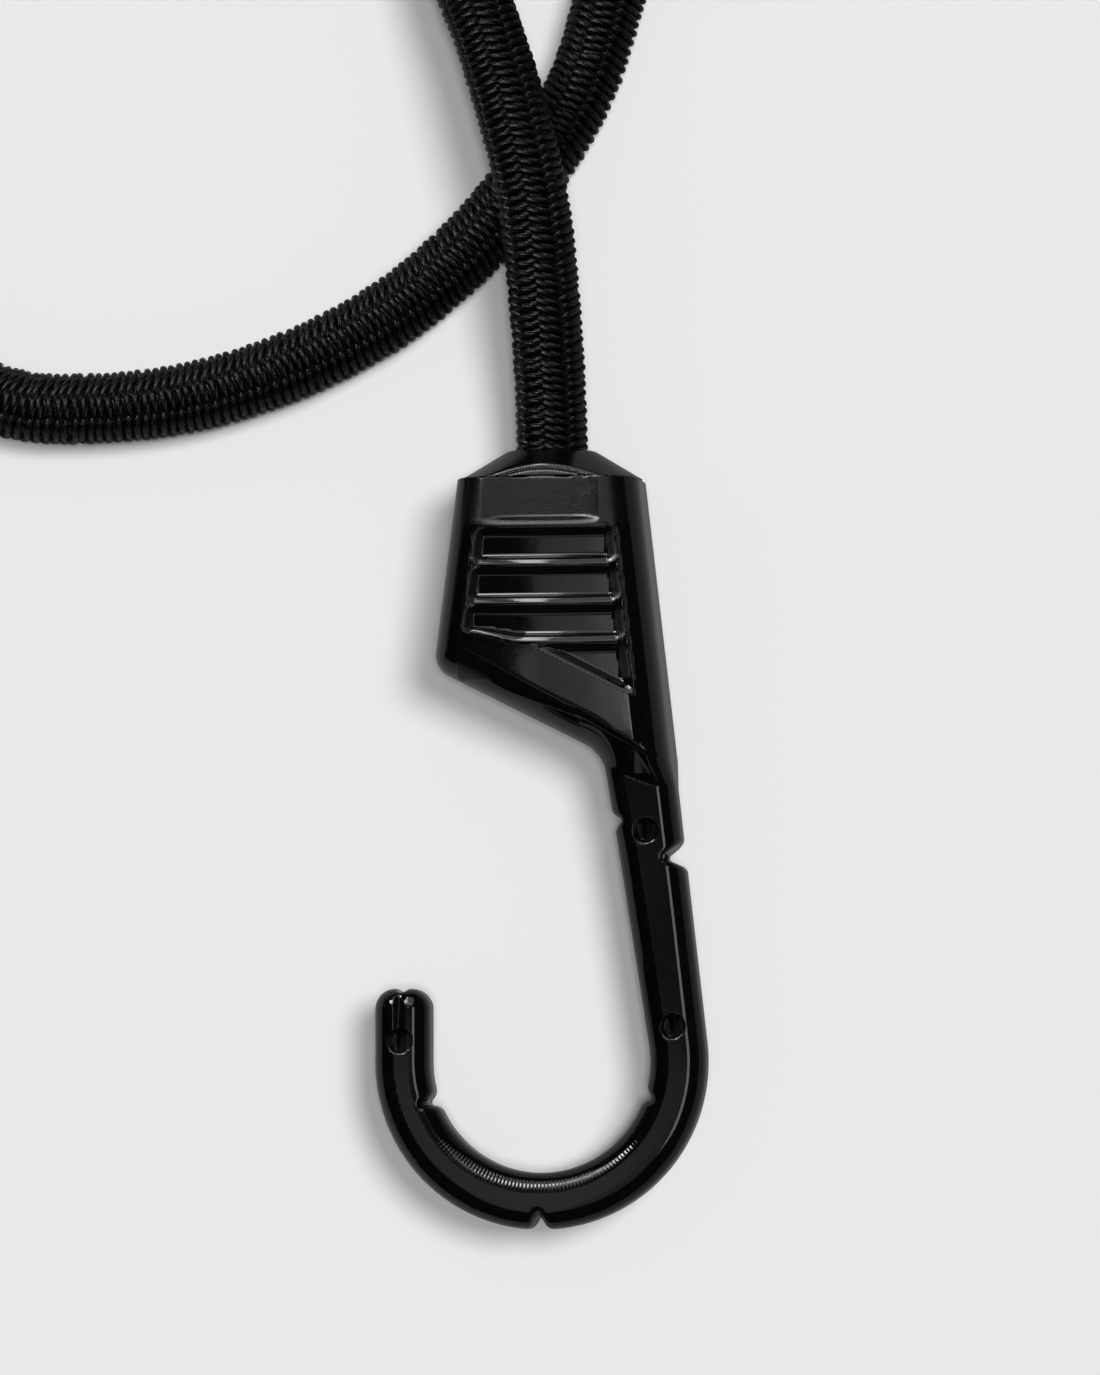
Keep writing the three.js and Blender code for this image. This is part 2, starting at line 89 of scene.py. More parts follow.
class Link:
    """A shader output that can be used in sums; each sum adds its Math node."""

    def __init__(self, finish, socket):
        self.finish = finish
        self.socket = socket

    def sum(self, operation, *others):
        return self.finish.node("ShaderNodeMath", {"operation": operation}, dict(enumerate(others)))

    def __add__(self, other):
        return self.sum("ADD", self, other)

    def __rsub__(self, other):
        return self.sum("SUBTRACT", other, self)

    def __mul__(self, other):
        return self.sum("MULTIPLY", self, other)

    __radd__ = __add__
    __rmul__ = __mul__

    def sine(self):
        return self.sum("SINE", self)

    def arctan2(self, other):
        return self.sum("ARCTAN2", self, other)


class Finish:
    """One procedural material, with its Principled shader."""

    def __init__(self, name):
        self.material = bpy.data.materials.new(name)
        self.material.use_nodes = True
        self.tree = self.material.node_tree
        self.shader = self.tree.nodes["Principled BSDF"]

    def node(self, kind, settings=None, inputs=None, output=0):
        made = self.tree.nodes.new(kind)
        for name, value in (settings or {}).items():
            if name == "stops":
                ramp = made.color_ramp.elements
                while len(ramp) < len(value):
                    ramp.new(0.5)
                for stop, (place, colour) in zip(ramp, value):
                    stop.position = place
                    stop.color = (*colour, 1)
            else:
                setattr(made, name, value)
        for name, value in (inputs or {}).items():
            self.feed(made.inputs[name], value)
        return Link(self, made.outputs[output])

    def feed(self, socket, value):
        if isinstance(value, Link):
            self.tree.links.new(value.socket, socket)
        else:
            socket.default_value = value

    def set(self, **values):
        for name, value in values.items():
            self.feed(self.shader.inputs[name.replace("_", " ")], value)

    def noise(self, place, scale, detail=2.0, rough=0.5):
        sockets = {"Vector": place, "Scale": scale, "Detail": detail, "Roughness": rough}
        return self.node("ShaderNodeTexNoise", None, sockets)

    def ramp(self, value, *stops):
        return self.node("ShaderNodeValToRGB", {"stops": stops}, {"Fac": value})

    def attribute(self, name, output="Fac"):
        return self.node("ShaderNodeAttribute", {"attribute_name": name}, output=output)

    def place(self):
        return self.node("ShaderNodeTexCoord", output="Object")

    def coordinate(self, vector, axis):
        return self.node("ShaderNodeSeparateXYZ", None, {0: vector}, axis)

    def bump(self, height, depth, strength=1.0):
        sockets = {"Height": height, "Distance": depth, "Strength": strength}
        return self.node("ShaderNodeBump", None, sockets)


# Colours, and the depth of the fine relief in metres
PLASTIC_DARK = (0.0012, 0.0012, 0.0014)
PLASTIC_LIGHT = (0.0026, 0.0026, 0.0029)
PLASTIC_RELIEF = 0.00004
CUTTER_MARKS = 210
YARN_DARK = (0.0003, 0.0003, 0.0004)
YARN_LIGHT = (0.0018, 0.0018, 0.002)
YARN_RELIEF = 0.00009
WIRE_GREY = (0.02, 0.02, 0.02)
ZINC_GREY = (0.55, 0.55, 0.53)
STEEL_RELIEF = 0.00003


def moulded_plastic():
    """Glossy black plastic, matt where its grain says so, with cutter's marks round a centre."""
    finish = Finish("moulded_black_plastic")
    place = finish.place()
    grain = finish.attribute("grain")
    worn = finish.attribute("worn")
    cloud = finish.noise(place, 260, 3)
    fine = finish.noise(place, 5200, 2)
    smear = finish.noise(place, 900, 4, 0.6)
    own = finish.attribute("own", "Vector")
    turn = finish.coordinate(own, 1).arctan2(finish.coordinate(own, 0))
    marks = (CUTTER_MARKS * turn).sine() * finish.attribute("marks")
    height = cloud * 0.09 + smear * 0.5 * grain + fine * (0.012 + 0.5 * grain + 0.06 * worn)
    height = height + marks * (0.2 + 0.5 * smear)
    finish.set(
        Base_Color=finish.ramp(smear, (0.3, PLASTIC_DARK), (0.75, PLASTIC_LIGHT)),
        Roughness=0.015 + 0.04 * smear + 0.22 * grain + 0.12 * worn * smear,
        Normal=finish.bump(height, PLASTIC_RELIEF),
    )
    return finish.material


def braided_yarn():
    """Black yarn with a fine twist along each float; every ring has its own shade."""
    finish = Finish("braided_black_yarn")
    uv = finish.node("ShaderNodeUVMap", {"uv_map": "UVMap"})
    along = finish.coordinate(uv, 0)
    across = finish.coordinate(uv, 1)
    shade = finish.attribute("shade")
    fuzz = finish.noise(finish.place(), 4500, 3, 0.65)
    twist = (17 * along + 19 * across + 5 * fuzz).sine()
    height = 0.5 + 0.42 * twist + 0.45 * fuzz
    # Colour: a random tone per ring and in the fuzz, plus painted shade that darkens the grooves of the
    # twist
    tone_and_groove_shade = 0.25 * shade + 0.35 * fuzz + 0.2 * twist
    finish.set(
        Base_Color=finish.ramp(tone_and_groove_shade, (0.15, YARN_DARK), (0.8, YARN_LIGHT)),
        Roughness=0.17 + 0.2 * fuzz,
        Specular_IOR_Level=0.34,
        Normal=finish.bump(height, YARN_RELIEF, 0.9),
    )
    return finish.material


def plated_steel(name, colour, roughness):
    finish = Finish(name)
    streak = finish.noise(finish.place(), 1500, 4, 0.6)
    dark = tuple(0.6 * c for c in colour)
    finish.set(
        Base_Color=finish.ramp(streak, (0.3, dark), (0.7, colour)),
        Metallic=1.0,
        Roughness=roughness + 0.2 * streak,
        Normal=finish.bump(streak, STEEL_RELIEF, 0.5),
    )
    return finish.material


PLASTIC = moulded_plastic()
YARN = braided_yarn()


# Cord: the route of the part's source, x, y and the height of the centre line

LIE = CORD_DIAMETER / 2
OVER = 3 * LIE + 0.7
SECOND_X, SECOND_Y = HOOK_PLACES["b"]
ROUTE = [
    (0, CORD_END_Y, HOOK_MID),
    (0, CAP_TOP_Y + 4, HOOK_MID),
    (-0.5, 24.8, HOOK_MID + 3),
    (-1.6, 37.3, OVER),
    (-4.7, 50, OVER),
    (-9.1, 62.8, OVER - 1.6),
    (-15.5, 76, LIE + 5),
    (-26, 87.5, LIE + 2),
    (-40, 95, LIE + 0.4),
    (-56, 97.5, LIE),
    (-72, 95, LIE),
    (-86, 87, LIE),
    (-96.5, 74.5, LIE),
    (-101.5, 59, LIE),
    (-100, 43, LIE),
    (-93, 29.2, LIE),
    (-83, 19, LIE),
    (-70.6, 13.2, LIE),
    (-60.5, 12.5, LIE),
    (-50.3, 13.3, LIE),
    (-40.2, 15.6, LIE),
    (-30, 19.5, LIE),
    (-19.8, 25.3, LIE),
    (-9.7, 34.1, LIE),
    (-2.4, 43.2, LIE),
    (3.3, 53.1, LIE),
    (6.6, 63.2, LIE),
    (9.5, 76, LIE),
    (6.5, 96, LIE),
    (-6, 111, LIE),
    (-26, 120, LIE),
    (-50, 122.3, LIE),
    (-74, 118.5, LIE),
    (-97, 107.5, LIE),
    (-114, 91, LIE),
    (-122, 69, LIE),
    (SECOND_X, 46, LIE + 0.6),
    (SECOND_X, 20, HOOK_MID - 1),
    (SECOND_X, SECOND_Y + CAP_TOP_Y + 4, HOOK_MID),
    (SECOND_X, SECOND_Y + CORD_END_Y, HOOK_MID),
]
LEAD_SHARE = 6 / 55

# Braid: rings of short floats, each leaning the other way from its neighbours
RING_PITCH = 1.13
RING_TILT = (0.04, 0.04, 0.03)
RING_SIZES = (0.985, 1.01)
COLUMNS = 8
COLUMN_START = -95.0
FLOAT_LEAN = 0.5
FLOAT_REACH = 28.0
FLOAT_HALF_WIDTH = 0.63
FLOAT_TOP = 4.62
FLOAT_FOOT = 3.7
FLOAT_LONG = 9
FLOAT_WIDE = 6
LINING_RADIUS = 3.85
LINING_SIDES = 16
LOOP_TWIST = 35.0
TWIST_START = 0.14
TWIST_END = 0.33


def smooth_route(points, per_span=40):
    """A centripetal Catmull-Rom line through the points, the same curve as the part's source draws."""
    p = np.array(points, float)
    p = np.vstack([2 * p[0] - p[1], p, 2 * p[-1] - p[-2]])
    share = np.linspace(0, 1, per_span, endpoint=False)[:, None]
    spans = []
    for a, b, c, d in zip(p, p[1:], p[2:], p[3:]):
        ab, bc, cd = (math.sqrt(np.linalg.norm(v)) for v in (b - a, c - b, d - c))
        leave = ((b - a) / ab - (c - a) / (ab + bc) + (c - b) / bc) * bc
        reach = ((c - b) / bc - (d - b) / (bc + cd) + (d - c) / cd) * bc
        cubic = 2 * b - 2 * c + leave + reach
        square = -3 * b + 3 * c - 2 * leave - reach
        spans.append(b + share * (leave + share * (square + share * cubic)))
    return np.vstack(spans + [p[-2:-1]])


def evenly_spaced(line, pitch):
    """Places along a line in even steps, as near to a pitch as they come, and the line's length."""
    run = np.concatenate([[0], np.cumsum(np.linalg.norm(np.diff(line, axis=0), axis=1))])
    at = np.linspace(0, run[-1], round(run[-1] / pitch) + 1)
    return np.stack([np.interp(at, run, line[:, k]) for k in range(3)], axis=1), run[-1]


def smooth_step(value, low, high):
    share = np.clip((value - low) / (high - low), 0, 1)
    return share * share * (3 - 2 * share)


def straight_ramp(value, low, high, bend=0.17):
    """A step from 0 to 1 that is straight between a rounded start and end."""
    share = np.clip((value - low) / (high - low), 0, 1)
    part = np.minimum(share, 1 - share)
    climb = np.where(part < bend, part**2 / (2 * bend), part - bend / 2) / (1 - bend)
    return np.where(share < 0.5, climb, 1 - climb)


def new_object(name, data):
    made = bpy.data.objects.new(name, data)
    scene.collection.objects.link(made)
    return made


def float_ring():
    """One ring of the braid round the Z axis: eight floats with their ends tucked under the next."""
    along = np.linspace(-1, 1, FLOAT_LONG)
    reach, across = np.meshgrid(along, np.linspace(-1, 1, FLOAT_WIDE), indexing="ij")
    verts, faces, uvs = [], [], []
    for column in range(COLUMNS):
        lean = FLOAT_LEAN if column % 2 else -FLOAT_LEAN
        step = 0.5 * RING_PITCH * (column % 2)
        turn = np.radians(COLUMN_START + 360 / COLUMNS * (column + 0.5) + reach * FLOAT_REACH)
        crown = np.sqrt(np.clip(1 - across**2, 0, 1)) * (1 - 0.55 * reach**6)
        radius = FLOAT_FOOT + (FLOAT_TOP - FLOAT_FOOT) * crown - 0.12 * reach**8
        half_width = FLOAT_HALF_WIDTH * (1 - 0.22 * reach**4)
        height = step + lean * (0.55 * reach + 0.45 * reach**3) + across * half_width
        start = len(verts)
        places = np.stack([radius * np.cos(turn), radius * np.sin(turn), height], axis=-1) * MM
        verts.extend(map(tuple, places.reshape(-1, 3)))
        uvs.extend(map(tuple, np.stack([reach, across], axis=-1).reshape(-1, 2) / 2 + 0.5))
        for i in range(FLOAT_LONG - 1):
            for j in range(FLOAT_WIDE - 1):
                a = start + FLOAT_WIDE * i + j
                b = a + FLOAT_WIDE
                faces.append((a, b, b + 1, a + 1))
    mesh = bpy.data.meshes.new("float_ring")
    mesh.from_pydata(verts, [], faces)
    layer = mesh.uv_layers.new(name="UVMap")
    for loop in mesh.loops:
        layer.data[loop.index].uv = uvs[loop.vertex_index]
    mesh.shade_smooth()
    return new_object("float_ring", mesh)


def braid_tree():
    """Geometry nodes that set a ring on each point of a route but the last, over a plain lining."""
    tree = bpy.data.node_groups.new("braid", "GeometryNodeTree")
    sockets = {
        "Geometry": "NodeSocketGeometry",
        "Ring": "NodeSocketObject",
        "Rings": "NodeSocketInt",
        "Lining radius": "NodeSocketFloat",
        "Seed": "NodeSocketInt",
        "Yarn": "NodeSocketMaterial",
    }
    for name, kind in sockets.items():
        tree.interface.new_socket(name, in_out="INPUT", socket_type=kind)
    tree.interface.new_socket("Geometry", in_out="OUTPUT", socket_type="NodeSocketGeometry")

    # An input goes by its name, with _ for a space, or by its number after a _
    def node(kind, settings=None, **inputs):
        made = tree.nodes.new(kind)
        for name, value in (settings or {}).items():
            setattr(made, name, value)
        for name, value in inputs.items():
            key = int(name[1:]) if name[1:].isdigit() else name.replace("_", " ")
            if isinstance(value, bpy.types.NodeSocket):
                tree.links.new(value, made.inputs[key])
            else:
                made.inputs[key].default_value = value
        return made.outputs

    given = node("NodeGroupInput")
    points = node("GeometryNodeCurveToPoints", {"mode": "EVALUATED"}, Curve=given["Geometry"])
    index = node("GeometryNodeInputIndex")
    is_less = {"data_type": "INT", "operation": "LESS_THAN"}
    kept = node("FunctionNodeCompare", is_less, _2=index[0], _3=given["Rings"])
    ring = node("GeometryNodeObjectInfo", {"transform_space": "ORIGINAL"}, Object=given["Ring"])
    tilt = node(
        "FunctionNodeRandomValue",
        {"data_type": "FLOAT_VECTOR"},
        _0=[-most for most in RING_TILT],
        _1=RING_TILT,
        Seed=given["Seed"],
    )
    size = node(
        "FunctionNodeRandomValue",
        {"data_type": "FLOAT"},
        _2=RING_SIZES[0],
        _3=RING_SIZES[1],
        Seed=given["Seed"],
    )
    jitter = node("FunctionNodeEulerToRotation", None, Euler=tilt[0])
    turned = node(
        "FunctionNodeRotateRotation",
        {"rotation_space": "LOCAL"},
        Rotation=points["Rotation"],
        _1=jitter[0],
    )
    rings = node(
        "GeometryNodeInstanceOnPoints",
        None,
        Points=points["Points"],
        Selection=kept[0],
        Instance=ring["Geometry"],
        Rotation=turned[0],
        Scale=size[1],
    )
    shade = node("FunctionNodeRandomValue", {"data_type": "FLOAT"}, Seed=given["Seed"])
    stored = node(
        "GeometryNodeStoreNamedAttribute",
        {"data_type": "FLOAT", "domain": "INSTANCE"},
        Geometry=rings[0],
        Name="shade",
        Value=shade[1],
    )
    circle = node(
        "GeometryNodeCurvePrimitiveCircle",
        None,
        Resolution=LINING_SIDES,
        Radius=given["Lining radius"],
    )
    lining = node(
        "GeometryNodeCurveToMesh",
        None,
        Curve=given["Geometry"],
        _1=circle[0],
        Fill_Caps=True,
    )
    whole = tree.nodes.new("GeometryNodeJoinGeometry")
    for part in (stored, lining):
        tree.links.new(part[0], whole.inputs[0])
    real = node("GeometryNodeRealizeInstances", None, Geometry=whole.outputs[0])
    painted = node("GeometryNodeSetMaterial", None, Geometry=real[0], Material=given["Yarn"])
    node("NodeGroupOutput", None, Geometry=painted[0])
    return tree


def braid_piece(name, places, tilts, ring, tree, seed):
    """A length of braided cord along the places, which are in millimetres and one ring apart."""
    curve = bpy.data.curves.new(name + "_route", "CURVE")
    curve.dimensions = "3D"
    curve.twist_mode = "Z_UP"
    spline = curve.splines.new("POLY")
    spline.points.add(len(places) - 1)
    spline.points.foreach_set("co", np.hstack([places * MM, np.ones((len(places), 1))]).ravel())
    spline.points.foreach_set("tilt", tilts)
    carrier = new_object(name + "_route", curve)
    modifier = carrier.modifiers.new("braid", "NODES")
    modifier.node_group = tree
    values = {
        "Ring": ring,
        "Rings": len(places) - 1,
        "Lining radius": LINING_RADIUS * MM,
        "Seed": seed,
        "Yarn": YARN,
    }
    for item in tree.interface.items_tree:
        if item.in_out == "INPUT" and item.name in values:
            modifier[item.identifier] = values[item.name]
    seen = carrier.evaluated_get(bpy.context.evaluated_depsgraph_get())
    mesh = bpy.data.meshes.new_from_object(seen)
    mesh.name = name
    carrier.modifiers.clear()
    bpy.data.objects.remove(carrier)
    mesh.shade_smooth()
    return new_object(name, mesh)


def make_cord():
    places, length = evenly_spaced(smooth_route(ROUTE), RING_PITCH)
    count = len(places) - 1
    lead = round(count * LEAD_SHARE)
    twist = smooth_step(np.linspace(0, 1, count + 1), TWIST_START, TWIST_END)
    tilts = math.radians(LOOP_TWIST) * twist
    cuts = {
        "braid_lead_a": (0, lead),
        "braid_inner_loop": (lead, count // 2),
        "braid_outer_loop": (count // 2, count - lead),
        "braid_lead_b": (count - lead, count),
    }
    ring = float_ring()
    tree = braid_tree()
    strands = [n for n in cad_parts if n.startswith("rubber_strand")]
    stands_for = {
        "braid_lead_a": ["sleeve_lead_a"],
        "braid_inner_loop": ["sleeve_coil", *strands],
        "braid_outer_loop": ["sleeve_coil"],
        "braid_lead_b": ["sleeve_lead_b"],
    }
    mouths = {"a": (0, CAP_TOP_Y, HOOK_MID), "b": (SECOND_X, SECOND_Y + CAP_TOP_Y, HOOK_MID)}
    for seed, (name, (first, last)) in enumerate(cuts.items()):
        run = places[first : last + 1]
        piece = braid_piece(name, run, tilts[first : last + 1], ring, tree, seed)
        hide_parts(*stands_for[name])
        end = name[-1] if "lead" in name else None
        if end:
            free = run[-1] if end == "a" else run[0]
            "crimp_" + end
            free * MM
            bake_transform(piece)
            run = run if end == "a" else run[::-1]
            leaves = Vector(mouths[end]) * MM
        else:
            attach(piece, "cord")
            leaves = run[0] * MM
        float(length * (last - first) / count) * MM
        run * MM
    bpy.data.objects.remove(ring)


make_cord()


# Hook: outlines in the plane of the photograph, rounded towards both faces

def point(x, y):
    return np.array([x, y], float)


def heading(angle):
    """A unit vector, from its angle in degrees."""
    return point(math.cos(math.radians(angle)), math.sin(math.radians(angle)))


def on_circle(centre, radius, angle):
    return centre + radius * heading(angle)


def arc(centre, radius, first, last, step=3.0):
    count = max(1, math.ceil(abs(last - first) / step))
    return [on_circle(centre, radius, a) for a in np.linspace(first, last, count + 1)]


def cross(a, b):
    return a[0] * b[1] - a[1] * b[0]


def crossing(p, along, q, other):
    """Where two lines cross, each given by a place and a way."""
    return p + along * cross(q - p, other) / cross(along, other)


def round_corner(before, corner, after, radius):
    """Points of the arc that rounds off a corner of an outline."""
    a = (before - corner) / np.linalg.norm(before - corner)
    b = (after - corner) / np.linalg.norm(after - corner)
    half = math.acos(a @ b) / 2
    middle = (a + b) / np.linalg.norm(a + b)
    centre = corner + middle * radius / math.sin(half)
    ends = [corner + edge * radius / math.tan(half) - centre for edge in (a, b)]
    first, last = (math.degrees(math.atan2(e[1], e[0])) for e in ends)
    turn = (last - first + 540) % 360 - 180
    return arc(centre, radius, first, first + turn, 6)


# Grip block
RIM_WIDTH = 23.2
SIDE_LEAN = 7.1
GRIP_HEIGHT = 24.0
UNDERSIDE_SLOPE = 26.7
GRIP_CORNER = 2.9
GRIP_HALF = 8.75
GRIP_EDGE = 2.6
GRIP_FLANK = 4.1
RIM_FLANK = 0.9
FLANK_FOOT_Y = -26.0
GRIP_EASE = 0.25
GRIP_EASE_X = 9.0
RIM_OVERRUN = 14.0
RIM_SOFT = 0.06

# Arm: shank, bowl and tip
BOWL = point(-1.3, -71.8)
BOWL_RADIUS = 14.0
SECTION_WIDTH = 7.2
SECTION_HALF = 4.0
SECTION_FLANK = 2.8
SECTION_EDGE = 0.6
FLANK_POWER = 2.5
LEFT_EASE = 0.8
SHANK_LEAN = 8.9
SHANK_RISE = 0.45
ARM_TOP = 33.0
EASE_END = 47.0
RISE_END = 55.0
THROAT_RADIUS = 5.0
TIP_LENGTH = 9.3
TIP_CORNER = 2.6
OUTER_RADIUS = BOWL_RADIUS + SECTION_WIDTH
MIDDLE_RADIUS = BOWL_RADIUS + SECTION_WIDTH / 2
TIP_TOP = BOWL[1] + TIP_LENGTH
TIP_X = BOWL[0] - MIDDLE_RADIUS

# Ramp from the grip's face down to the arm's
RAMP_X = 11.2
RAMP_SLOPE = 0.25
RAMP_TOP = 29.0
RAMP_LENGTH = 6.4
BROW_DROOP = 2.43
DROOP_SLOPE = 0.36
MOST_DROOP = 3.2
FOOT_DROOP = 0.35

# Socket, support-pin holes, notches and the split in the tip
SOCKET_RADIUS = 6.5
SOCKET_END_Y = -15.1
CORE_RADIUS = 2.0
CORE_BARE = 0.2
PIN_RADIUS = 1.45
PIN_SOFT = 0.22
TIP_PIN = 6.7
NOTCH_ANGLE = 30.0
NOTCH_TIP = 0.42
NOTCH_REACH = 4.0
NOTCH_SOFT = 0.6
NOTCH_FLARE = 0.9
FLARE_FROM = 2.0
FLARE_TO = 4.5
GROOVE_RADIUS = 0.5
GROOVE_TOP = np.array([TIP_X, TIP_TOP, 3.75])
GROOVE_FOOT = np.array([TIP_X - 0.2, TIP_TOP - 5.4, 4.2])
NICK_LIFT = 0.25
NICK_RADIUS = 0.75
SPLIT_SOFT = 0.3

rim_right = point(RIM_WIDTH / 2, RIM_Y)
rim_left = point(-RIM_WIDTH / 2, RIM_Y)
left_edge = heading(-90 - SIDE_LEAN)
underside = heading(-UNDERSIDE_SLOPE)
grip_corner = rim_left + left_edge * GRIP_HEIGHT / -left_edge[1]
to_rim = rim_right - BOWL
rim_turn = math.atan2(to_rim[1], to_rim[0])
outer_start = math.degrees(rim_turn - math.acos(OUTER_RADIUS / np.linalg.norm(to_rim)))
outer_point = on_circle(BOWL, OUTER_RADIUS, outer_start)
right_edge = (outer_point - rim_right) / np.linalg.norm(outer_point - rim_right)
inner_point = on_circle(BOWL, BOWL_RADIUS, SHANK_LEAN)
inner_edge = heading(90 + SHANK_LEAN)
throat = crossing(grip_corner, underside, inner_point, inner_edge)


def right_edge_at(y):
    return rim_right[0] + (y - RIM_Y) * right_edge[0] / right_edge[1]


def inner_edge_at(y):
    return inner_point[0] + (y - inner_point[1]) * inner_edge[0] / inner_edge[1]


def shank_middle(y):
    return point((inner_edge_at(y) + right_edge_at(y)) / 2, y)


def hook_outline():
    top_right = rim_right - right_edge * RIM_OVERRUN
    top_left = rim_left - left_edge * RIM_OVERRUN
    outer_tip = point(BOWL[0] - OUTER_RADIUS, TIP_TOP)
    inner_tip = point(BOWL[0] - BOWL_RADIUS, TIP_TOP)
    return [
        top_right,
        top_left,
        *round_corner(top_left, grip_corner, throat, GRIP_CORNER),
        *round_corner(grip_corner, throat, inner_point, THROAT_RADIUS),
        *arc(BOWL, BOWL_RADIUS, SHANK_LEAN, -180),
        *round_corner(on_circle(BOWL, BOWL_RADIUS, 180), inner_tip, outer_tip, TIP_CORNER),
        *round_corner(inner_tip, outer_tip, on_circle(BOWL, OUTER_RADIUS, 180), TIP_CORNER),
        *arc(BOWL, OUTER_RADIUS, -180, outer_start),
    ]


def outline_distance(x, y, outline):
    """Signed distance from a closed outline, negative inside."""
    least = np.full(np.broadcast(x, y).shape, np.inf)
    inside = np.zeros(least.shape, bool)
    for a, b in zip(outline, outline[1:] + outline[:1]):
        edge = b - a
        share = np.clip(((x - a[0]) * edge[0] + (y - a[1]) * edge[1]) / (edge @ edge), 0, 1)
        least = np.minimum(least, (x - a[0] - share * edge[0]) ** 2 + (y - a[1] - share * edge[1]) ** 2)
        spans = (a[1] > y) != (b[1] > y)
        if edge[1]:
            inside ^= spans & (x < a[0] + (y - a[1]) * edge[0] / edge[1])
    return np.where(inside, -1, 1) * np.sqrt(least)


def smooth_max(a, b, soft):
    """The larger of two fields, with a round bend where they meet."""
    mix = np.clip(0.5 + (a - b) / (2 * soft), 0, 1)
    return b + (a - b) * mix + soft * mix * (1 - mix)


def smooth_min(a, b, soft):
    return -smooth_max(-a, -b, soft)


TINY = 1e-9


def rounded_plate(outline, rise, half, flank, edge, power):
    """A plate with its outline at mid height and flanks that roll softly into its flat faces."""
    side = np.maximum(outline + flank, 0) / flank
    up = np.maximum(rise - edge, 0) / (half - edge)
    ring = (side**power + up**power) ** (1 / power) + TINY
    across, upward = [(part / ring) ** (power - 1) for part in (side, up)]
    curved = (ring - 1) / (np.hypot(across / flank, upward / (half - edge)) + TINY)
    flat = np.maximum(outline, rise - half)
    return np.where((side > 0) & (up > 0), curved, flat)


# Ribbed panel: crests across the grip, each with a dark slope below it and a round rise above it
LEFT_MARGIN = 3.4
RIGHT_MARGIN = 2.5
LEFT_WALL = 1.6
RIGHT_WALL = 2.2
FLOOR_MARGIN = 8.2
FLOOR_WALL = 1.3
FIRST_CREST = -4.4
CREST_PITCH = 4.9
CREST_COUNT = 4
CREST_SINK = 0.22
SINK_WIDTH = 7.5
RECESS_DEPTH = 0.95
FALL_WIDTH = 1.35
FALL_CROWN = 0.5
RISE_WIDTH = 1.4
RISE_CROWN = 0.78
LAST_BEND = 1.8
BEND_ACROSS = (2.0, 11.0)
BEND_DOWN = (10.5, 14.5)

# Flat band by the rim, below a slope in the shape of a lens
BAND_DEPTH = 0.85
LENS_X = -0.2
LENS_HALF = 7.6
LENS_WIDTH = 1.5
LENS_TAPER = 0.3
LENS_CROWN = 0.75
LENS_END_DEPTH = 0.01


def line_distance(x, y, at, along):
    """How far a place lies to the left of a line, seen along it."""
    return along[0] * (y - at[1]) - along[1] * (x - at[0])


def shoulder(away, width, depth, crown):
    """Depth beside a crest: a convex arc, then a hollow one that runs out level."""
    steep = 2 * np.arctan2(depth, width)
    both = width / np.sin(steep)
    convex = crown * both
    hollow = both - convex
    away = np.clip(away, 0, width)
    over = convex - np.sqrt(np.maximum(convex**2 - away**2, 0))
    under = depth - hollow + np.sqrt(np.maximum(hollow**2 - (width - away) ** 2, 0))
    return np.where(away < convex * np.sin(steep), over, under)


def in_from_left(x, y):
    """How far inside the panel a place lies, from the panel's left end."""
    return line_distance(x, y, rim_left, left_edge) - LEFT_MARGIN


def in_from_right(x, y):
    """The same from its right end."""
    return -line_distance(x, y, rim_right, right_edge) - RIGHT_MARGIN


def crest_depth(x, below):
    """Depth of the crests and the recesses between them, down from the first crest."""
    last = CREST_COUNT - 1
    row = below - CREST_PITCH * np.clip(np.floor(below / CREST_PITCH), 0, last)
    next_crest = np.where(below < CREST_PITCH * last, CREST_PITCH - row, RISE_WIDTH)
    fall = shoulder(row, FALL_WIDTH, RECESS_DEPTH, FALL_CROWN)
    rise = shoulder(next_crest, RISE_WIDTH, RECESS_DEPTH, RISE_CROWN)
    recess = np.minimum(fall, rise)
    return recess + CREST_SINK * (x / SINK_WIDTH) ** 2 * (1 - recess / RECESS_DEPTH)


def band_depth(x, above):
    """Depth of the band by the rim, up from the first crest."""
    taper = np.clip(np.abs(x - LENS_X) / LENS_HALF, 0, 1) ** 3
    depth = BAND_DEPTH * (1 - taper) + LENS_END_DEPTH
    return shoulder(above, LENS_WIDTH - LENS_TAPER * taper, depth, LENS_CROWN)


def panel_depth(x, y):
    """Depth of the ribbed panel and of the band by the rim below the grip's face."""
    below = FIRST_CREST - y
    below = below + LAST_BEND * smooth_step(-x, *BEND_ACROSS) * smooth_step(below, *BEND_DOWN)
    left = smooth_step(in_from_left(x, y), 0, LEFT_WALL) ** 1.4
    right = smooth_step(in_from_right(x, y), 0, RIGHT_WALL) ** 1.6
    floor = smooth_step(line_distance(x, y, grip_corner, underside) - FLOOR_MARGIN, 0, FLOOR_WALL)
    floor = np.where(below > CREST_PITCH * (CREST_COUNT - 1), floor, 1)
    return np.where(below > 0, crest_depth(x, below) * left * right * floor, band_depth(x, -below))


def notch_distance(x, y, at, outward, depth):
    """A V notch with a round bottom that opens along a direction."""
    way = math.radians(outward)
    u = (x - at[0]) * math.cos(way) + (y - at[1]) * math.sin(way) + depth - NOTCH_TIP
    v = np.abs((y - at[1]) * math.cos(way) - (x - at[0]) * math.sin(way))
    s, c = math.sin(math.radians(NOTCH_ANGLE)), math.cos(math.radians(NOTCH_ANGLE))
    wedge = np.where(u * c + v * s < 0, np.hypot(u, v), v * c - u * s) - NOTCH_TIP
    return np.maximum(wedge, np.hypot(x - at[0], y - at[1]) - NOTCH_REACH)


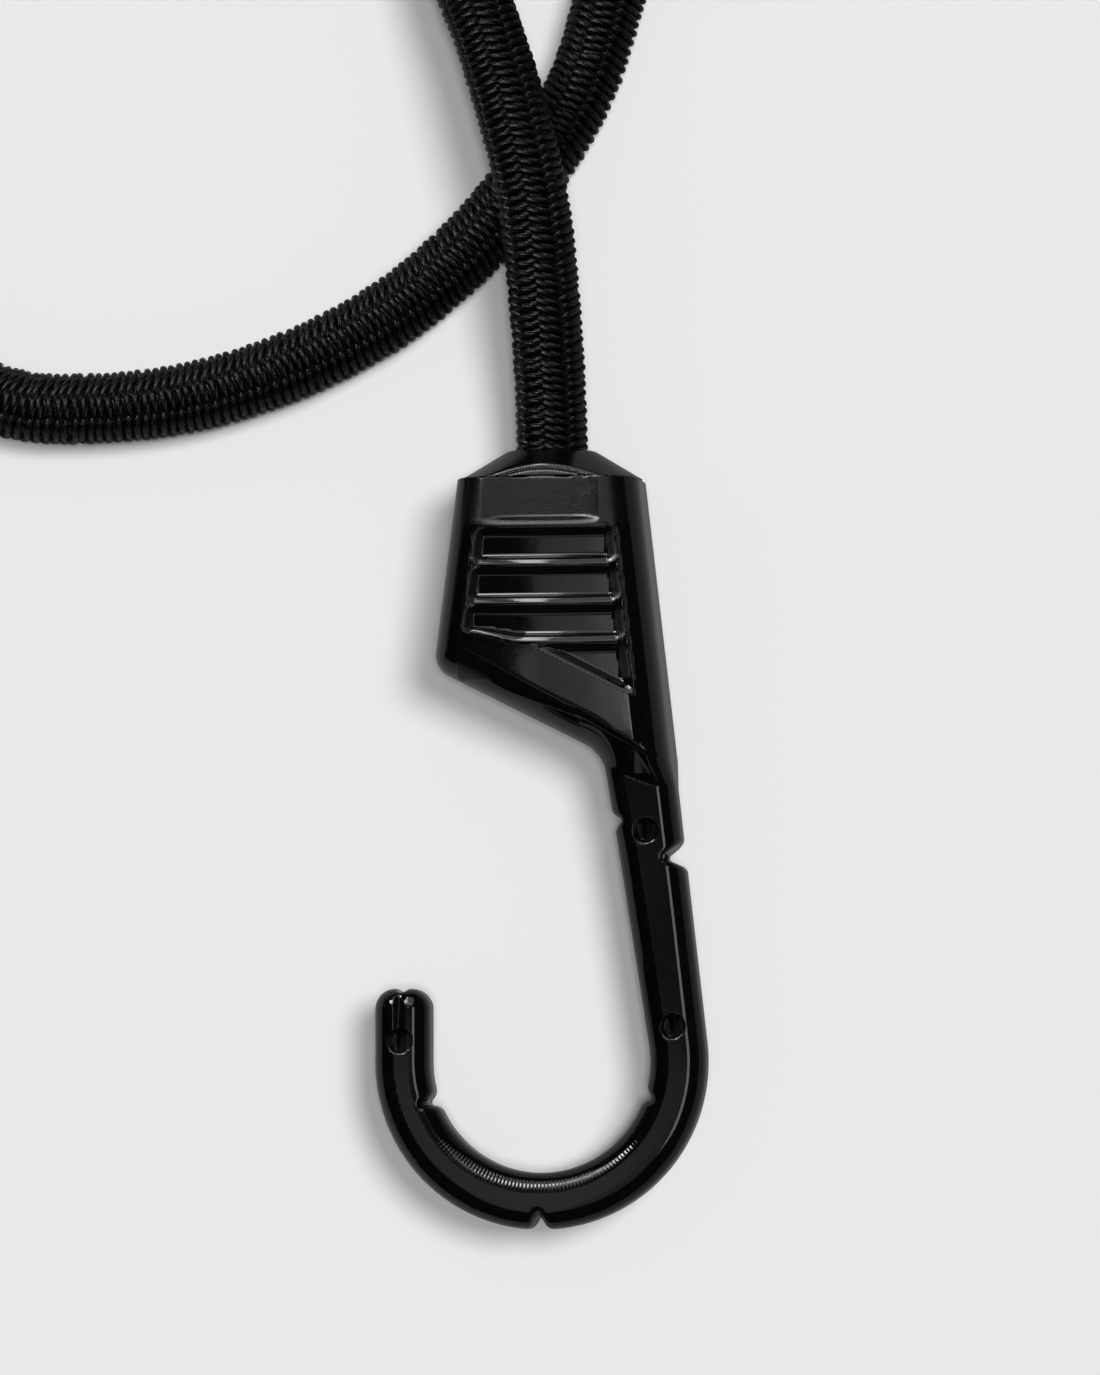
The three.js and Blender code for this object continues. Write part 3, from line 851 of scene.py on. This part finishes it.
def capsule_distance(x, y, z, a, b, radius):
    """Distance from a rod with round ends."""
    ab = b - a
    share = ((x - a[0]) * ab[0] + (y - a[1]) * ab[1] + (z - a[2]) * ab[2]) / (ab @ ab)
    share = np.clip(share, 0, 1)
    return np.sqrt(sum((p - q - share * r) ** 2 for p, q, r in zip((x, y, z), a, ab))) - radius


# Where the holes and notches are; each notch opens along a direction and has a depth and a flare
OUTLINE = hook_outline()
PINS = [
    shank_middle(throat[1] - 2 * THROAT_RADIUS),
    shank_middle(BOWL[1] + MIDDLE_RADIUS / 4),
    point(TIP_X, TIP_TOP - TIP_PIN),
]
OUTER_NOTCH_Y = throat[1] - 2.6 * THROAT_RADIUS
INNER_NOTCH_Y = throat[1] - 1.75 * THROAT_RADIUS
NOTCHES = [
    (point(right_edge_at(OUTER_NOTCH_Y), OUTER_NOTCH_Y), SHANK_LEAN - 2, 2.4, 0),
    (point(inner_edge_at(INNER_NOTCH_Y), INNER_NOTCH_Y), 180 + SHANK_LEAN, 1.2, 0),
    (on_circle(BOWL, OUTER_RADIUS, -90), -90, 1.7, NOTCH_FLARE),
    (on_circle(BOWL, BOWL_RADIUS, 200), 20, 1.2, NOTCH_FLARE),
    (on_circle(BOWL, BOWL_RADIUS, -18), 162, 1.0, NOTCH_FLARE),
]


def ramp_share(x, y):
    """How far the ramp has come down, from 0 on the grip to 1 on the arm."""
    brow = RAMP_TOP + RAMP_SLOPE * (x - RAMP_X)
    droop = np.clip(BROW_DROOP + DROOP_SLOPE * (x - RAMP_X), 0, MOST_DROOP)
    return straight_ramp(-y, brow + droop, brow + FOOT_DROOP * droop + RAMP_LENGTH)


def flank_power(x, y, low, outline, reach=0.05):
    """How square the flanks are: rounder where the arm faces left and on the grip's left."""
    facing_left = np.clip((outline_distance(x - reach, y, OUTLINE) - outline) / reach, 0, 1)
    arm_ease = smooth_step(-y, ARM_TOP, EASE_END) * LEFT_EASE * facing_left
    grip_ease = (1 - low) * GRIP_EASE * np.clip(1 - x / GRIP_EASE_X, 0, 2)
    return FLANK_POWER - arm_ease - grip_ease


def plain_hook(x, y, rise):
    """The hook with its ribbed panel, before anything is cut into it."""
    low = ramp_share(x, y)
    arm_half = SECTION_HALF + SHANK_RISE * (1 - smooth_step(-y, ARM_TOP, RISE_END))
    half = GRIP_HALF - panel_depth(x, y) + low * (arm_half - GRIP_HALF)
    grip_flank = GRIP_FLANK + RIM_FLANK * smooth_step(y, FLANK_FOOT_Y, RIM_Y)
    flank = grip_flank * (1 - low) + SECTION_FLANK * low
    edge = GRIP_EDGE + low * (SECTION_EDGE - GRIP_EDGE)
    outline = outline_distance(x, y, OUTLINE)
    return rounded_plate(outline, rise, half, flank, edge, flank_power(x, y, low, outline))


def tip_split(x, y, rise):
    """The split in the tip: a groove down each face, and a nick that joins the two."""
    groove = capsule_distance(x, y, rise, GROOVE_TOP, GROOVE_FOOT, GROOVE_RADIUS)
    nick = np.hypot(x - TIP_X, y - TIP_TOP - NICK_LIFT) - NICK_RADIUS
    return smooth_min(groove, nick, SPLIT_SOFT)


def hook_field(x, y, z):
    """Negative inside the moulded hook; x and y in its plane, z from its middle."""
    rise = np.abs(z)
    body = smooth_max(plain_hook(x, y, rise), y - RIM_Y, RIM_SOFT)
    near_face = smooth_step(rise, FLARE_FROM, FLARE_TO)
    for at, outward, depth, flare in NOTCHES:
        notch = notch_distance(x, y, at, outward, depth + flare * near_face)
        body = smooth_max(body, -notch, NOTCH_SOFT)
    for at in PINS:
        round_hole = np.hypot(x - at[0], y - at[1]) - PIN_RADIUS
        body = smooth_max(body, -np.maximum(round_hole, CORE_RADIUS - CORE_BARE - rise), PIN_SOFT)
    body = smooth_max(body, -tip_split(x, y, rise), SPLIT_SOFT)
    socket = np.maximum(np.hypot(x, z) - SOCKET_RADIUS, SOCKET_END_Y - y)
    return np.maximum(body, -socket)


# Cap: a flattened cone with a facet on each face that goes down in two steps
CAP_FACET = GRIP_HALF - BAND_DEPTH
LEDGE_STEP = 0.25
LEDGE_WIDTH = 0.45
FACET_SOFT = 0.3
CONE_FLATNESS = 1.2
CONE_SLOPE = 1.66
CONE_LIFT = 0.1
CONE_STEEPNESS = math.hypot(1.05, CONE_SLOPE)
CONE_SOFT = 0.35
RIM_GAP = 0.06
SPIGOT_GAP = 0.3
SPIGOT_FOOT = -3.8
SPIGOT_TOP = 3.0
BORE_RADIUS = CORD_DIAMETER / 2 + 0.05
BORE_SOFT = 0.25


def cone_distance(x, y, z):
    """Distance from the cap's cone, negative inside."""
    away = np.hypot(x, CONE_FLATNESS * z) - RIM_WIDTH / 2
    return (away + (y - RIM_Y - CONE_LIFT) * CONE_SLOPE) / CONE_STEEPNESS


def cap_field(x, y, z):
    """Negative inside the conical cap and its spigot, but not in its bore."""
    radius = np.hypot(x, z)
    cone = smooth_max(cone_distance(x, y, z), y - CAP_TOP_Y, CONE_SOFT)
    ledge = smooth_max(cone, np.abs(z) - CAP_FACET + LEDGE_STEP, FACET_SOFT)
    facet = smooth_max(cone + LEDGE_WIDTH, np.abs(z) - CAP_FACET, FACET_SOFT)
    cone = np.maximum(np.minimum(ledge, facet), RIM_Y + RIM_GAP - y)
    ends = np.maximum(SPIGOT_FOOT - y, y - SPIGOT_TOP)
    spigot = np.maximum(radius - SOCKET_RADIUS + SPIGOT_GAP, ends)
    return smooth_max(np.minimum(cone, spigot), BORE_RADIUS - radius, BORE_SOFT)


# Meshes of these fields
CORNERS = np.array([(i, j, k) for i in (0, 1) for j in (0, 1) for k in (0, 1)])


def surface_net(values, low, step):
    """Vertices and quads of the surface where a sampled field changes sign."""
    inside = values < 0
    size = np.array(values.shape) - 1
    count = np.zeros(size, np.int8)
    for i, j, k in CORNERS:
        count += inside[i : i + size[0], j : j + size[1], k : k + size[2]]
    active = (count > 0) & (count < 8)
    number = np.full(active.shape, -1)
    number[active] = np.arange(active.sum())
    cells = np.argwhere(active)
    total = np.zeros((len(cells), 3))
    seen = np.zeros((len(cells), 1))
    for a in CORNERS:
        for axis in range(3):
            if a[axis]:
                continue
            b = a.copy()
            b[axis] = 1
            here = values[tuple((cells + a).T)]
            there = values[tuple((cells + b).T)]
            cut = (here < 0) != (there < 0)
            share = np.where(cut, here / np.where(cut, here - there, 1), 0)
            total += cut[:, None] * (a + share[:, None] * (b - a))
            seen += cut[:, None]
    verts = low + step * (cells + total / seen)
    quads = []
    for axis in range(3):
        one, two = np.roll(np.eye(3, dtype=int), -axis - 1, axis=0)[:2]
        near = np.moveaxis(inside, axis, 0)
        change = np.moveaxis(near[1:] != near[:-1], 0, axis)
        edges = np.argwhere(change)
        edges = edges[np.all(edges[:, [k for k in range(3) if k != axis]] > 0, axis=1)]
        edges = edges[np.all(edges < size, axis=1)]
        around = [number[tuple((edges - shift).T)] for shift in (0 * one, one, one + two, two)]
        quad = np.stack(around, axis=1)
        leaving = inside[tuple(edges.T)]
        quad[~leaving] = quad[~leaving][:, ::-1]
        quads.append(quad)
    return verts, np.vstack(quads)


def field_slope(field, at, reach=0.01):
    here = field(*at.T)
    slope = [(field(*(at + reach * way).T) - here) / reach for way in np.eye(3)]
    return here, np.stack(slope, axis=1)


WEAR_REACH = 0.3
LEAST_SLOPE = 0.2
MOST_MOVE = 0.4


def carve(field, low, high, step, rounds=2):
    """A closed mesh pulled onto a field's surface, its normals, and how worn its edges are."""
    axes = [np.arange(a, b + step, step) for a, b in zip(low, high)]
    values = field(axes[0][:, None, None], axes[1][None, :, None], axes[2][None, None, :])
    verts, quads = surface_net(values, np.array(low, float), step)
    for _ in range(rounds):
        here, slope = field_slope(field, verts)
        move = (here / np.maximum((slope**2).sum(1), LEAST_SLOPE))[:, None] * slope
        far = np.linalg.norm(move, axis=1, keepdims=True)
        verts = verts - move * np.minimum(1, MOST_MOVE * step / np.maximum(far, TINY))
    here, slope = field_slope(field, verts)
    normals = slope / np.maximum(np.linalg.norm(slope, axis=1, keepdims=True), TINY)
    shifts = [side * way for way in np.eye(3) for side in (-WEAR_REACH, WEAR_REACH)]
    bend = sum(field(*(verts + shift).T) - here for shift in shifts) / WEAR_REACH**2
    return verts, quads, normals, smooth_step(bend, 0.4, 2.0)


END_GRAIN = 2.0
SATIN = 0.12


def face_grain(verts, normals):
    """How matt the moulding is: grained by the rim and in the recesses' ends, satin on the arm."""
    x, y = verts[:, 0], verts[:, 1]
    below = FIRST_CREST - y
    band = smooth_step(-below, 0.0, 0.5) * smooth_step(np.abs(normals[:, 2]), 0.55, 0.8)
    inside = smooth_step(np.minimum(in_from_left(x, y), in_from_right(x, y)), -0.1, 0.25)
    rows = smooth_step(below, 0.0, 0.4) * smooth_step(CREST_PITCH * CREST_COUNT - below, 0.0, 0.5)
    ends = inside * rows * smooth_step(np.abs(normals[:, 0]), 0.12, 0.4)
    satin = SATIN * smooth_step(-y, 36.0, 50.0)
    return np.maximum(np.maximum(band, satin), END_GRAIN * ends)


def bowl_marks(verts):
    """Where the cutter's marks show on the hook: a narrow strip along the bowl's inner edge."""
    way = verts[:, :2] - BOWL
    turn = np.degrees(np.arctan2(way[:, 1], way[:, 0]))
    strip = smooth_step(0.9 - np.abs(np.hypot(*way.T) - BOWL_RADIUS - 1.6), 0, 0.5)
    return strip * smooth_step(turn, -150, -115) * smooth_step(-turn, 30, 65)


def cap_grain(verts, normals):
    """How matt the cap is: grained, with a glossy edge round its flat facets."""
    away = np.abs(cone_distance(*verts.T) + LEDGE_WIDTH / 2)
    edge = smooth_step(0.75 - away, 0, 0.3) * smooth_step(np.abs(verts[:, 2]), 7.0, 7.4)
    return (0.5 + 0.5 * smooth_step(np.abs(normals[:, 2]), 0.55, 0.8)) * (1 - 0.85 * edge)


def cap_marks(verts):
    """Where they show on the cap: along the inner edge of its flat facets."""
    strip = smooth_step(0.3 - np.abs(cone_distance(*verts.T) + LEDGE_WIDTH), 0, 0.15)
    return strip * smooth_step(np.abs(verts[:, 2]), 7.4, 7.7)


def store(mesh, name, kind, values):
    key = "vector" if kind == "FLOAT_VECTOR" else "value"
    layer = mesh.attributes.new(name, kind, "POINT")
    layer.data.foreach_set(key, values.astype(np.float32).ravel())


def carved_piece(name, shape, place, grain, marks, marks_centre):
    """A moulded piece at its place, with what its material reads stored on it."""
    verts, quads, normals, worn = shape
    mesh = bpy.data.meshes.new(name)
    moved = (verts + np.array([*place, HOOK_MID])) * MM
    mesh.from_pydata(moved.tolist(), [], quads.tolist())
    store(mesh, "grain", "FLOAT", grain(verts, normals))
    store(mesh, "worn", "FLOAT", worn)
    store(mesh, "marks", "FLOAT", marks(verts))
    store(mesh, "own", "FLOAT_VECTOR", verts - np.array([*marks_centre, 0]))
    mesh.shade_smooth()
    mesh.normals_split_custom_set_from_vertices(normals.tolist())
    mesh.materials.append(PLASTIC)
    return new_object(name, mesh)


HOOK_STEP = 0.3
HOOK_BOX = ((-23.3, -93.9, -9.4), (20.7, 2.9, 9.4))
CAP_STEP = 0.15
CAP_BOX = ((-12.3, -4.5, -9.4), (12.3, 6.5, 9.4))
CAP_MARKS_CENTRE = (0, -10)


def make_hooks():
    hook = carve(hook_field, *HOOK_BOX, HOOK_STEP)
    cap = carve(cap_field, *CAP_BOX, CAP_STEP)
    steel = plated_steel("drawn_wire", WIRE_GREY, 0.45)
    zinc = plated_steel("zinc_plate", ZINC_GREY, 0.35)
    for end, place in HOOK_PLACES.items():
        body = carved_piece("moulded_hook_" + end, hook, place, face_grain, bowl_marks, BOWL)
        collar = carved_piece("collar_cap_" + end, cap, place, cap_grain, cap_marks, CAP_MARKS_CENTRE)
        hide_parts("hook_body_" + end)
        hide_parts("socket_cap_" + end)
        for piece in (body, collar):
            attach(piece, "hook_" + end)
        for node, metal in (("hook_core_", steel), ("crimp_ferrule_", zinc)):
            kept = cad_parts[node + end].data
            kept.materials.clear()
            kept.materials.append(metal)


make_hooks()


# Floor and lights, in metres; in the gloss the floor shows dimmer, most of all right of the hook

FLOOR_HALF = 3.0
FLOOR_GREY = 0.823
FLOOR_IN_GLOSS = 0.2
WEST_SHARE = 0.17
EAST_X = 0.02
WEST_X = -0.03
WORLD_LEVEL = 0.1
WORLD_IN_GLOSS = 0.006
PANEL_HEIGHT = 0.5
OVERHEAD_Y = 0.0158
OVERHEAD_DEPTH = 0.0396
STRIP_X = -0.067
STRIP_WIDTH = 0.006
STRIP_GLOWS = (0.58, 0.68, 1.1, 2.1)

# Level panels above the hook: x, y, width, depth and glow
PANELS = {
    "overhead_panel": (-0.033, OVERHEAD_Y, 0.022, OVERHEAD_DEPTH, 2.8),
    "band_panel": (0.06, 0.0535, 0.26, 0.0354, 0.3),
    "cord_panel": (-0.07, 0.16, 0.4, 0.11, 2.0),
    "wedge_panel": (-0.0714, 0.0039, 0.0028, 0.0158, 0.98),
    "shank_top_panel": (-0.02, -0.012, 0.2, 0.016, 0.12),
    "shank_panel": (-0.02, -0.029, 0.2, 0.018, 0.065),
    "shank_low_panel": (-0.02, -0.0515, 0.2, 0.027, 0.085),
    "bowl_left_panel": (-0.1015, -0.1475, 0.037, 0.165, 0.4),
    "bowl_panel": (-0.0675, -0.1475, 0.031, 0.165, 0.5),
    "bowl_right_panel": (0.014, -0.1475, 0.132, 0.165, 0.27),
    "edge_panel": (0.17, -0.101, 0.12, 0.218, 2.5),
}

# Softboxes beside it: centre, the place they face, width, height and glow
SOFTBOXES = {
    "cord_left_box": ((-0.25, 0.27, 0.4), (0, 0.06, 0), 0.18, 0.2, 17.0),
    "top_left_box": ((-0.15, 0.36, 0.35), (-0.15, 0, 0), 0.1, 0.4, 0.8),
    "top_middle_box": ((-0.083, 0.36, 0.35), (-0.083, 0, 0), 0.03, 0.4, 11.0),
    "top_right_box": ((0.066, 0.36, 0.35), (0.066, 0, 0), 0.264, 0.4, 1.2),
}


def add_floor():
    mesh = bpy.data.meshes.new("floor")
    corners = [(FLOOR_HALF * x, FLOOR_HALF * y, 0) for x, y in ((-1, -1), (1, -1), (1, 1), (-1, 1))]
    mesh.from_pydata(corners, [], [(0, 1, 2, 3)])
    finish = Finish("pale_floor")
    in_gloss = finish.node("ShaderNodeLightPath", output="Is Glossy Ray")
    limits = {"Value": finish.coordinate(finish.place(), 0), "From Min": EAST_X, "From Max": WEST_X}
    west = finish.node("ShaderNodeMapRange", None, limits)
    dimmed = in_gloss * (1 - WEST_SHARE * west)
    pale, dim = [(level, level, level) for level in (FLOOR_GREY, FLOOR_IN_GLOSS)]
    finish.set(
        Base_Color=finish.ramp(dimmed, (0, pale), (1, dim)),
        Roughness=1.0,
        Specular_IOR_Level=0.0,
    )
    mesh.materials.append(finish.material)
    new_object("floor", mesh)


def add_sun(name, towards, strength, angle):
    lamp = bpy.data.lights.new(name, "SUN")
    lamp.energy = strength
    lamp.angle = math.radians(angle)
    made = new_object(name, lamp)
    made.rotation_euler = Vector(towards).to_track_quat("Z", "Y").to_euler()
    made.visible_glossy = False


def add_softbox(name, centre, towards, width, height, glow):
    """A panel that shows in the gloss of the plastic; glow is its brightness, where 1 is white."""
    lamp = bpy.data.lights.new(name, "AREA")
    lamp.shape = "RECTANGLE"
    lamp.size = width
    lamp.size_y = height
    lamp.energy = glow * math.pi * width * height
    made = new_object(name, lamp)
    made.location = centre
    made.rotation_euler = (Vector(centre) - Vector(towards)).to_track_quat("Z", "Y").to_euler()
    made.visible_diffuse = False
    made.visible_camera = False


def add_panel(name, x, y, width, depth, glow):
    """A softbox that hangs level above the hook."""
    add_softbox(name, (x, y, PANEL_HEIGHT), (x, y, 0), width, depth, glow)


def add_world(level, in_gloss):
    world = bpy.data.worlds.new("studio")
    world.use_nodes = True
    nodes = world.node_tree.nodes
    path = nodes.new("ShaderNodeLightPath")
    mix = nodes.new("ShaderNodeMapRange")
    mix.inputs["To Min"].default_value = level
    mix.inputs["To Max"].default_value = in_gloss
    world.node_tree.links.new(path.outputs["Is Glossy Ray"], mix.inputs["Value"])
    world.node_tree.links.new(mix.outputs[0], nodes["Background"].inputs["Strength"])
    nodes["Background"].inputs["Color"].default_value = (1, 1, 1, 1)
    scene.world = world


add_floor()
add_world(WORLD_LEVEL, WORLD_IN_GLOSS)
add_sun("key", (0.45, 0.19, 1), 1.95, 20)
add_sun("fill", (*VIEW_LEAN, 1), 1.08, 10)
for step, glow in enumerate(STRIP_GLOWS):
    strip_x = STRIP_X + STRIP_WIDTH * step
    add_panel(f"overhead_strip_{step + 1}", strip_x, OVERHEAD_Y, STRIP_WIDTH, OVERHEAD_DEPTH, glow)
for name, values in PANELS.items():
    add_panel(name, *values)
for name, values in SOFTBOXES.items():
    add_softbox(name, *values)
